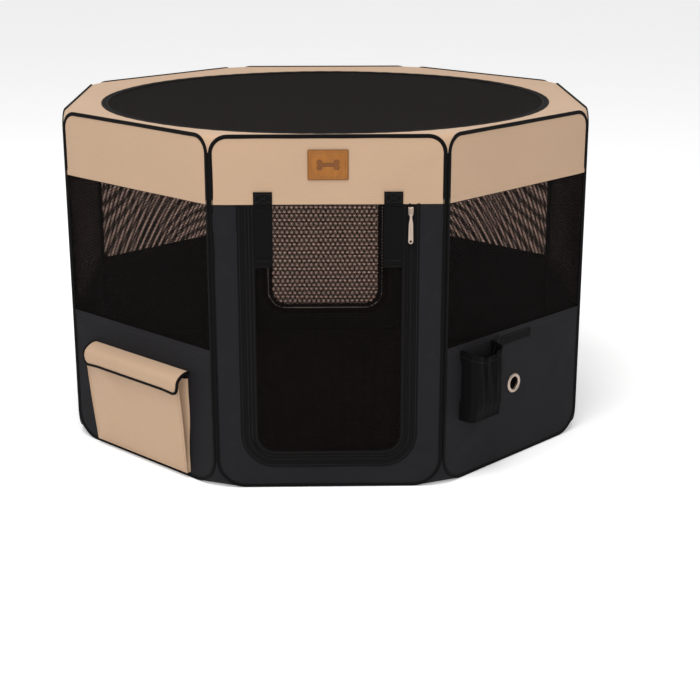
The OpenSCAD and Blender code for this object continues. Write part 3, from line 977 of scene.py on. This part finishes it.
def patch():
    """Leather patch with a stitched border and an embossed bone"""
    half_x, half_z, inset = PATCH_W / 2, PATCH_H / 2, 0.0046
    cz = (PATCH_LO[2] + PATCH_HI[2]) / 2
    radius = 0.002
    x, z = panel_grid(half_x, PATCH_LO[2], PATCH_HI[2], radius, radius, 110, 0.0006)
    rim = np.minimum(half_x - np.abs(x), half_z - np.abs(z - cz))
    bone = bone_field(x, z - cz)
    emboss = 0.00055 * smooth((0.0005 - np.abs(bone)) / 0.0006 + 0.5) + 0.00028 * smooth(-bone / 0.0008)
    base = -(PATCH_LO[1] + PATCH_HI[1]) / 2
    out = base - 0.0003 + smooth(rim / 0.0022) * 0.0007 - emboss - ridge(rim, inset, 0.0007, 0.00035)
    shape = Shape()
    shape.cloth(on_face(x, z, out), flat_uv(x, z - cz), 0.0016)
    for k, ring in enumerate(shape.faces):
        middle = np.mean([shape.co[n] for n in ring], axis=0)
        if bone_field(middle[0], middle[2] - cz) < 0:
            shape.slots[k] = 2
    loop = rounded_box(half_x - inset, half_z - inset, 0.001, (0, cz), 6)
    x, z = np.array(loop + loop[:1]).T
    shape.stitches(on_face(x, z, base + 0.0010), ZIP_PITCH, radius=0.0005)
    piece("front_leather_patch", shape, [LEATHER, TAN_THREAD, DEBOSS], "front_panel", FRONT,
          ["leather_patch"])


# ---------------------------------------------------------------- the large pocket

def pocket_body():
    """Pocket with a slanted front, and sides that fold in towards its middle"""
    lo, hi = span("pocket_body", POCKET_SIDE)
    z0, mouth, half = lo[2], hi[2], hi[0]
    foot_out, mouth_out = FACE + 0.0072, -lo[1]

    def front_out(z):
        return foot_out + (mouth_out - foot_out) * (z - z0) / (mouth - z0)

    def front_half(z):
        return half - 0.003 * smooth((z0 + 0.09 - z) / 0.09)

    def round_front(inset, lift, foot_x, foot_z, foot_lift):
        """Down one side of the front, along its foot and up the other side"""
        side = [(front_half(z) - inset, -front_out(z) - lift, z) for z in rows if z > z0 + inset - 1e-6]
        foot = [(x, -front_out(z0 + inset) - foot_lift, foot_z) for x in foot_x]
        return [(-x, y, z) for x, y, z in side[::-1]] + foot + side

    shape = Shape()
    rows = np.linspace(z0, mouth - 0.006, 26)
    across, z = np.meshgrid(np.linspace(-1, 1, 44), rows, indexing="ij")
    x = across * front_half(z)
    starts = [(-half, mouth, -0.8), (half, mouth, -2.3), (-half, z0, 0.7), (half, z0, 2.4)]
    sag = edge_fade(x, z, half, z0 - 0.01, mouth + 0.02, 0.03)
    sag *= relief(x, z, 801, 0.0016, (0.08, 0.3), starts, 0.0013, 0.09, 0.008)
    shape.cloth(on_face(x, z, front_out(z) - 0.0011 + sag), flat_uv(x, z), 0.0016)
    deep, z = np.meshgrid(np.linspace(0, 1, 12), rows, indexing="ij")
    fold = np.sin(deep * math.pi) ** 2 * 0.0150 * smooth((z - z0) / 0.05)
    out = FACE - 0.0002 + (front_out(z) - FACE - 0.0012) * deep
    for side in (-1, 1):
        x = side * (front_half(z) - 0.0008 - fold + 0.001 * np.sin(z * 60 + side))
        shape.cloth(on_face(x, z, out), flat_uv(out + 0.3 * side, z), LAYER_T)
    foot_half = float(front_half(z0))
    x, deep = np.meshgrid(foot_half * np.linspace(-1, 1, 30), np.linspace(0, 1, 5), indexing="ij")
    out = FACE + (foot_out - FACE - 0.0016) * deep
    shape.cloth(on_face(x, z0 + 0.0008, out), flat_uv(x, out), 0.0014)
    foot_x = np.linspace(-foot_half, foot_half, 30)[1:-1]
    shape.tube(round_front(0, -0.0002, foot_x, z0 + 0.0002, -0.0004), 0.0010)
    inset = 0.0045
    foot_x = np.linspace(-foot_half + inset, foot_half - inset, 12)
    shape.stitches(round_front(inset, 0.0001, foot_x, z0 + inset, 0.0001), SEAM_PITCH, 2)
    obj = piece("large_pocket", shape, [CREAM, BINDING, CREAM_THREAD], "left_front_panel", POCKET_SIDE,
                ["pocket_body"])


def pocket_flap():
    """Flap that runs out from its seam and turns down over the mouth, with round lower corners"""
    lo, hi = span("pocket_flap", POCKET_SIDE)
    top, wide, round_r = hi[2], hi[0], 0.014
    start, reach = -hi[1], -lo[1] - 0.0009
    spine = [(start, 0.0008), (start + 0.006, 0.0010), (0.012, 0.0022), (0.018, 0.0042), (0.023, 0.0068),
             (0.0262, 0.0098), (reach - 0.0004, 0.0140), (reach, 0.019), (reach, 0.025)]
    spine = [(out, top - drop) for out, drop in spine]
    spine = np.array(spine + [(reach, z) for z in np.linspace(top - 0.029, lo[2], 6)])
    length = run(spine)
    count, rows = 52, 30
    spread = math.pi / 2 * 0.82
    across = wide * np.sin(np.linspace(-spread, spread, count)) / math.sin(spread)
    grid = np.zeros((count, rows, 3))
    uv = np.zeros((count, rows, 2))
    for a, x in enumerate(across):
        inside = max(0.0, abs(x) - (wide - round_r))
        cut = round_r - math.sqrt(max(0.0, round_r ** 2 - inside ** 2))
        at = np.linspace(0, 1, rows) * (length[-1] - cut)
        out = np.interp(at, length, spine[:, 0])
        z = np.interp(at, length, spine[:, 1])
        swell = 0.0012 * np.sin(at / length[-1] * math.pi) * math.cos(x / wide * 1.5)
        droop = 0.0022 * smooth((at - 0.01) / 0.02) * smooth(abs(x) / wide * 3 - 2)
        grid[a] = on_face(x, z + swell - droop, out + swell * 0.3)
        uv[a] = flat_uv(x, at)
    wave = ripple(grid[..., 0], uv[..., 1], random.Random(802), 0.0009, (0.05, 0.16))
    wave *= smooth((uv[..., 1] - 0.004) / 0.012)
    grid[..., 2] += wave * 0.5
    grid[..., 1] -= np.clip(wave, -0.0006, 0.001) * smooth((uv[..., 1] - 0.03) / 0.01)
    shape = Shape()
    shape.cloth(grid, uv, 0.0015)
    shape.tube(np.concatenate([grid[0], grid[1:-1, -1], grid[-1][::-1]]), 0.0026, 1, sides=10)
    outward = normals(grid)
    if outward[count // 2, 25, 1] > 0:
        outward = -outward
    raised = grid + outward * 0.0009
    seam = np.concatenate([raised[2, 3:26], raised[3:-3, 26], raised[-3, 3:26][::-1]])
    shape.stitches(seam, SEAM_PITCH, 2)
    flap = piece("large_pocket_flap", shape, [CREAM, BINDING, CREAM_THREAD], "pocket_flap", POCKET_SIDE,
                 ["pocket_flap"])


# ---------------------------------------------------------------- the bottle pocket, strip and grommet

def bottle_pocket():
    """Soft open pocket, gathered at its mouth and pleated down its front"""
    lo, hi = span("bottle_pocket", BOTTLE_SIDE)
    cx, half = (lo[0] + hi[0]) / 2, (hi[0] - lo[0]) / 2 - 0.0006
    z0, mouth = lo[2], hi[2]
    deep = -lo[1] - FACE - 0.0006
    plan = u_path(half, -deep, 0.0135, 0, 12, 12, 12) * (1, -1)
    length = run(plan)
    along = length / length[-1]
    turn = along * 2 * math.pi
    middle = np.sin(along * math.pi)
    rows = np.linspace(0, 1, 34)
    grid = np.zeros((len(plan), len(rows), 3))
    for b, v in enumerate(rows):
        upper = smooth(v * 1.6 - 0.6)
        pleat = 0.0022 * np.sin(turn * 6.5 + 1.8 * v) * smooth(v * 1.3 - 0.1)
        pleat = pleat + 0.0010 * np.sin(turn * 11 + 2.6)
        gather = 0.0007 * np.sin(turn * 34) * smooth((v - 0.86) / 0.08)
        fold = (pleat + gather) * middle
        x = plan[:, 0] * (1 - 0.03 * v * middle) + fold * np.sin((along - 0.5) * math.pi)
        squeeze = (1 - 0.10 * upper * middle) * (1 - 0.16 * (1 - smooth(v / 0.25)) * middle)
        depth = np.clip(plan[:, 1] * squeeze - 0.002 * middle, 0, None)
        depth += fold * np.cos((along - 0.5) * math.pi) * smooth(plan[:, 1] / 0.01)
        sag = 0.0125 * middle ** 1.5 * upper - 0.003 * np.sin(turn * 1.5) * v * middle
        z = z0 + 0.0008 + (mouth - z0 - 0.0016) * v - sag * v
        grid[:, b] = on_face(cx + x, z, FACE + depth)
    grid[..., 0] = np.clip(grid[..., 0], lo[0] + 0.0008, hi[0] - 0.0008)
    thick = np.full(grid.shape[:2], LAYER_T)
    thick[:, -3:] = 0.0026
    thick[:, -1] = 0.0018
    shape = Shape()
    shape.cloth(grid, flat_uv(length[:, None], rows * (mouth - z0)), thick[..., None])
    foot = grid[:, 0]
    shares = np.linspace(0, 1, 9)
    base = lerp_grid(foot, foot * (1, 0, 1) + (0, -FACE, 0), shares)
    base[..., 2] += 0.0006 - 0.0012 * np.sin(shares * math.pi) * middle[:, None]
    base[..., 2] = np.maximum(base[..., 2], z0 + 0.0007)
    shape.cloth(base, flat_uv(base[..., 0] + 0.2, base[..., 1]), LAYER_T)
    shape.tube(foot, 0.0012, 1)
    shape.stitches(grid[:, -4] + normals(grid)[:, -4] * 0.0008, ZIP_PITCH, 2)
    for end, way in ((0, -1), (-1, 1)):
        x = grid[end, :, 0] + way * np.array([[0.0], [0.002], [0.0045]])
        shape.cloth(on_face(x, grid[end, :, 2], FACE + 0.0005), flat_uv(x, grid[end, :, 2]), 0.001)
    obj = piece("hanging_bottle_pocket", shape, [BLACK, BINDING, DARK_THREAD], "right_front_panel",
                BOTTLE_SIDE, ["bottle_pocket"])


def loop_strip():
    """Hook-and-loop strip, sewn round its edge"""
    lo, hi = span("hook_strip", BOTTLE_SIDE)
    half_x, _, half_z = (hi - lo) / 2
    cz = (lo[2] + hi[2]) / 2
    x, z = panel_grid(half_x, lo[2], hi[2], 0.0022, 0.0022, 60, 0.0011)
    rim = np.minimum(half_x - np.abs(x), half_z - np.abs(z - cz))
    out = FACE + 0.0004 + 0.0006 * smooth((rim - 0.001) / 0.0012)
    out += 0.00012 * np.sin(x * 5200) * np.sin(z * 5200)
    shape = Shape()
    shape.cloth(on_face(x, z, out), flat_uv(x, z), 0.0009)
    loop = rounded_box(half_x - 0.0016, half_z - 0.0016, 0.001, (0, cz), 4)
    x, z = np.array(loop + loop[:1]).T
    shape.stitches(on_face(x, z, FACE + 0.0014), BOX_PITCH)
    piece("loop_strip", shape, [LOOP, DARK_THREAD], "right_front_panel", BOTTLE_SIDE,
          ["hook_strip"])


def loop_tail():
    """Loose end of webbing that hangs from the strip towards the bottle pocket"""
    top = SKIRT_Z - 0.009
    bends = [(-0.050, 0.001, 0.0), (-0.056, 0.004, 0.006), (-0.066, 0.009, 0.010), (-0.078, 0.014, 0.015),
             (-0.086, 0.019, 0.024), (-0.089, 0.021, 0.036)]
    tail = np.array([(x, FACE + out, top - drop) for x, out, drop in bends])
    share = np.linspace(0, 1, 26)
    path = np.stack([np.interp(share, np.linspace(0, 1, len(tail)), column) for column in tail.T], axis=-1)
    for _ in range(3):
        path[1:-1] = (path[:-2] + 2 * path[1:-1] + path[2:]) / 4
    width = 0.011
    wide = np.linspace(-width / 2, width / 2, 6)[:, None]
    points = on_face(path[:, 0] + wide * 0.35, path[:, 2] + wide, path[:, 1] + 0.0008)
    shape = Shape()
    shape.cloth(points, flat_uv(wide, share * 0.06), 0.0013)
    obj = piece("bottle_loop_tail", shape, [WEB], "right_front_panel", BOTTLE_SIDE)


def grommet():
    """Rolled metal eyelet through the skirt, with a washer behind"""
    lo, hi = GROMMET_LO, GROMMET_HI
    r_out, front, back = (hi[2] - lo[2]) / 2, -lo[1], -hi[1]
    bore, barrel = 0.011, 0.0127
    shape = Shape()
    shape.lathe([(barrel, FACE - 0.0002), (r_out - 0.0010, FACE - 0.0002), (r_out - 0.0002, FACE + 0.0004),
                 (r_out - 0.0006, FACE + 0.0011), (r_out - 0.0018, FACE + 0.0017), (r_out - 0.0032, front),
                 (bore + 0.0023, front), (bore + 0.0011, front - 0.0004), (bore + 0.0002, front - 0.0013),
                 (bore, front - 0.0026), (bore, back + 0.0008), (bore + 0.0005, back + 0.0002),
                 (bore + 0.0014, back), (barrel, back + 0.0003)], (0, GROMMET_Z))
    shape.lathe([(barrel + 0.0001, back + 0.0004), (r_out - 0.002, back + 0.0002),
                 (r_out - 0.0012, back + 0.0006), (r_out - 0.0012, -FACE - 0.0001),
                 (barrel + 0.0001, -FACE - 0.0001)], (0, GROMMET_Z))
    piece("skirt_grommet", shape, [NICKEL], "right_front_panel", BOTTLE_SIDE, ["grommet"], angle=50)


# ---------------------------------------------------------------- top, floor and corners

TOP_DIP = 0.0058          # how far the mesh disc's rim hangs below the ring's outer edge
DISC_DIP = 0.004          # further dip of the disc at its middle
SPREAD = np.linspace(-HALF_TURN, HALF_TURN, 25)[:, None]      # a sector's angles, column by column


def chamfer(radius):
    """Distance of a line across the corner where two round corners begin"""
    return MID * math.cos(HALF_TURN) + (HOOP_X - radius) * math.sin(HALF_TURN)


def rim_reach(angle, apothem, corner):
    """Distance from the middle to the eight-sided rim with cut corners, at an angle in a sector"""
    return np.minimum(apothem / np.cos(angle), corner / np.cos(HALF_TURN - np.abs(angle)))


def top_height(r, turned):
    """Height of the sewn top; turned is the angle round the whole pen"""
    reach = rim_reach((turned + HALF_TURN) % TURN - HALF_TURN, MID, chamfer(R_TOP))
    share = np.clip((r - DISC_R) / np.maximum(reach - DISC_R, 1e-6), 0, 1)
    ring = HOOP_Z1 - TOP_DIP * (1 - share) ** 1.35
    inner = np.clip(r / DISC_R, 0, 1)
    disc = HOOP_Z1 - TOP_DIP - DISC_DIP * (1 - inner ** 2)
    pucker = 0.0002 * np.sin(turned * 72) * np.exp(-((r - DISC_R) / 0.018) ** 2)
    slack = 0.0009 * np.sin(turned * 5 + 0.7) * inner ** 2 * np.sin(inner * math.pi)
    return np.where(r > DISC_R, ring, disc) + pucker + slack


def sector(inner, outer, rows):
    """Radius and angle over one eighth of the top or floor, in rows from the outside in"""
    share = np.linspace(0, 1, rows)
    return outer * (1 - share) + inner * share + 0 * SPREAD, SPREAD + 0 * share


def sector_points(r, a, z):
    return on_face(r * np.sin(a), z, r * np.cos(a) - MID)


def fold_with(obj):
    """Gives the piece its own copy of its mesh data"""
    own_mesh(obj)


def top_ring(i):
    name = NAMES[i]
    rim = rim_reach(SPREAD, MID - 0.0010, chamfer(R_TOP) + 0.0012)
    r, a = sector(DISC_R - 0.004, rim, 12)
    points = sector_points(r, a, top_height(r, a + TURN * i))
    shape = Shape()
    shape.cloth(points, flat_uv(points[..., 0], points[..., 1]), LAYER_T)
    obj = piece(f"{name}_top_ring", shape, [CREAM], f"{name}_panel", i, ["top_ring"])
    fold_with(obj)


def top_net(i):
    name = NAMES[i]
    r, a = sector(0.0015, DISC_R + 0.002, 20)
    points = sector_points(r, a, top_height(r, a + TURN * i) - 0.0002)
    world = [PANEL[i] @ Vector(p) for p in points.reshape(-1, 3)]
    uv = np.array([(p.x, p.y) for p in world]).reshape(*points.shape[:2], 2)
    for obj in net(f"{name}_top_net", points, uv, DISC, f"{name}_panel", i, "top_mesh"):
        fold_with(obj)


def top_tape(i):
    """Tape over the seam between the ring and the disc, stitched along both edges"""
    name = NAMES[i]
    half_w = 0.0062
    r, a = sector(DISC_R - half_w, DISC_R + half_w, 7)
    z = top_height(r, a + TURN * i) + 0.0011 - 0.0006 * ((r - DISC_R) / half_w) ** 4
    shape = Shape()
    shape.cloth(sector_points(r, a, z), flat_uv(a * DISC_R, r - DISC_R), 0.0009)
    at = np.linspace(-HALF_TURN, HALF_TURN, 60)
    for ring_r in (DISC_R - 0.0045, DISC_R + 0.0045):
        shape.stitches(sector_points(ring_r, at, top_height(ring_r, at + TURN * i) + 0.0015), 0.0045)
    obj = piece(f"{name}_top_tape", shape, [TAPE, DARK_THREAD], f"{name}_panel", i,
                ["top_tape"])
    fold_with(obj)


def floor_part(i):
    name = NAMES[i]
    rim = rim_reach(SPREAD, MID - PIPE_R + 0.001, chamfer(R_BOTTOM) + 0.0015)
    r, a = sector(0.001, rim, 22)
    world_x = r * np.sin(a + TURN * i)
    world_y = -r * np.cos(a + TURN * i)
    lie = ripple(world_x, world_y, random.Random(950), 0.0012, (0.16, 0.5), 9) * smooth((0.44 - r) / 0.06)
    points = sector_points(r, a, FLOOR_T / 2 + 0.0002 + np.clip(lie, 0, None))
    shape = Shape()
    shape.cloth(points, flat_uv(world_x, world_y), FLOOR_T - 0.0006)
    obj = piece(f"{name}_floor_part", shape, [NAVY], f"{name}_panel", i, ["floor"])
    fold_with(obj)


def panel_side(panel, side, kind):
    """World points along a panel's edge: its straight side, or round its top or foot corner"""
    if kind == "seam":
        flat = [(HOOP_X, z) for z in np.linspace(HOOP_Z0 + R_BOTTOM - 0.002, HOOP_Z1 - R_TOP + 0.002, 60)]
    elif kind == "top":
        flat = arc(HOOP_X - R_TOP, HOOP_Z1 - R_TOP, R_TOP, 0, 90, 16)
    else:
        flat = arc(HOOP_X - R_BOTTOM, HOOP_Z0 + R_BOTTOM, R_BOTTOM, 0, -90, 16)
    return np.array([PANEL[panel] @ Vector((side * x, 0, z)) for x, z in flat])


def corner_cloth(k, kind):
    """Cloth between panels k and k + 1: the gusset over the top or foot corner, or the seam between"""
    second = (k + 1) % 8
    left, right = panel_side(k, 1, kind), panel_side(second, -1, kind)
    columns = 11
    middle = columns // 2
    across = np.linspace(0, 1, columns)
    widths = np.linalg.norm(right - left, axis=1)
    if kind == "seam":
        bulge = np.full(len(left), 0.0012 if k % 2 else -0.0012)
    else:
        bulge = 0.05 * widths * (1 - np.linspace(0, 1, len(left)) ** 3)
    outward = np.array((PANEL[k] @ Vector((CORNER_X, 0, 0))).normalized())
    bow = bulge[:, None] * 4 * across * (1 - across)
    grid = lerp_grid(left, right, across) + bow[..., None] * outward
    length = run(grid[:, middle])
    uv = flat_uv(length[:, None], widths[:, None] * (across - 0.5))
    label, material, slot = {"top": ("top_gusset", CREAM, "cream_fabric"),
                             "foot": ("foot_gusset", NAVY, "navy_fabric"),
                             "seam": ("seam", SEAM_TAPE, "black_binding")}[kind]
    joined = k != OPEN_CORNER
    parts = [("", k, 0, columns)] if joined else [("_a", k, 0, middle + 1), ("_b", second, middle, columns)]
    for suffix, home, start, stop in parts:
        shape = Shape()
        shape.cloth(grid[:, start:stop], uv[:, start:stop], LAYER_T)
        obj = piece(f"{NAMES[k]}_{label}{suffix}", shape, [material],
                    None if joined else f"{NAMES[home]}_panel", -1)
        if joined:
            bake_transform(obj)


# ---------------------------------------------------------------- build

for i, name in enumerate(NAMES):
    binding(i)
    band(i)
    if i in (FRONT, BACK):
        surround(i)
        zips(i)
        door_mesh(i)
        slider(i)
    else:
        skirt(i)
        window(i)
    top_ring(i)
    top_net(i)
    top_tape(i)
    floor_part(i)
    for kind in ("top", "foot", "seam"):
        corner_cloth(i, kind)
    hoop = frame["nodes"][f"{name}_wire_hoop"]
    hoop.data.materials.clear()
    hoop.data.materials.append(STEEL)
tie_strap(-1, "left")
tie_strap(1, "right")
patch()
pocket_body()
pocket_flap()
bottle_pocket()
loop_strip()
loop_tail()
grommet()


# ---------------------------------------------------------------- stage, light and camera

def stage():
    s = Shader("studio_floor")
    pale = s.mix(s.noise(1.5, 2.0), (0.88, 0.88, 0.88, 1), (0.91, 0.91, 0.91, 1))
    s.finish(base=pale, rough=0.9, spec=0.1)
    s.bsdf.inputs["Emission Color"].default_value = (1.0, 1.0, 1.0, 1.0)
    s.bsdf.inputs["Emission Strength"].default_value = 0.26
    mesh = bpy.data.meshes.new("studio_floor")
    size = 30.0
    mesh.from_pydata([(a * size, b * size, 0) for a, b in ((-1, -1), (1, -1), (1, 1), (-1, 1))], [],
                     [(0, 1, 2, 3)])
    mesh.materials.append(s.mat)
    obj = bpy.data.objects.new("studio_floor", mesh)
    obj.location.z = -0.0003
    bpy.context.scene.collection.objects.link(obj)


def aimed(name, data, place, target):
    """Object at a place, turned to look at a target"""
    obj = bpy.data.objects.new(name, data)
    obj.location = place
    obj.rotation_euler = (Vector(target) - Vector(place)).to_track_quat("-Z", "Y").to_euler()
    bpy.context.scene.collection.objects.link(obj)
    return obj


def area_light(name, place, size, power):
    light = bpy.data.lights.new(name, "AREA")
    light.shape = "DISK"
    light.size = size
    light.energy = power
    aimed(name, light, place, (0, 0, 0.3))


def world():
    made = bpy.data.worlds.new("studio")
    bpy.context.scene.world = made
    made.use_nodes = True
    back = made.node_tree.nodes["Background"]
    back.inputs["Color"].default_value = (1.0, 1.0, 1.0, 1.0)
    back.inputs["Strength"].default_value = 0.66


def camera():
    data = bpy.data.cameras.new("photo_camera")
    data.lens = 77.03
    data.sensor_width = 36
    bpy.context.scene.camera = aimed("photo_camera", data, (-0.0196, -2.7838, 0.9684), (0.0450, 0.0, 0.0968))


stage()
world()
area_light("key", (-0.45, -1.3, 3.4), 2.4, 93)
area_light("front", (0.0, -4.2, 1.3), 2.0, 20)
camera()
bpy.context.scene.view_settings.view_transform = "Standard"
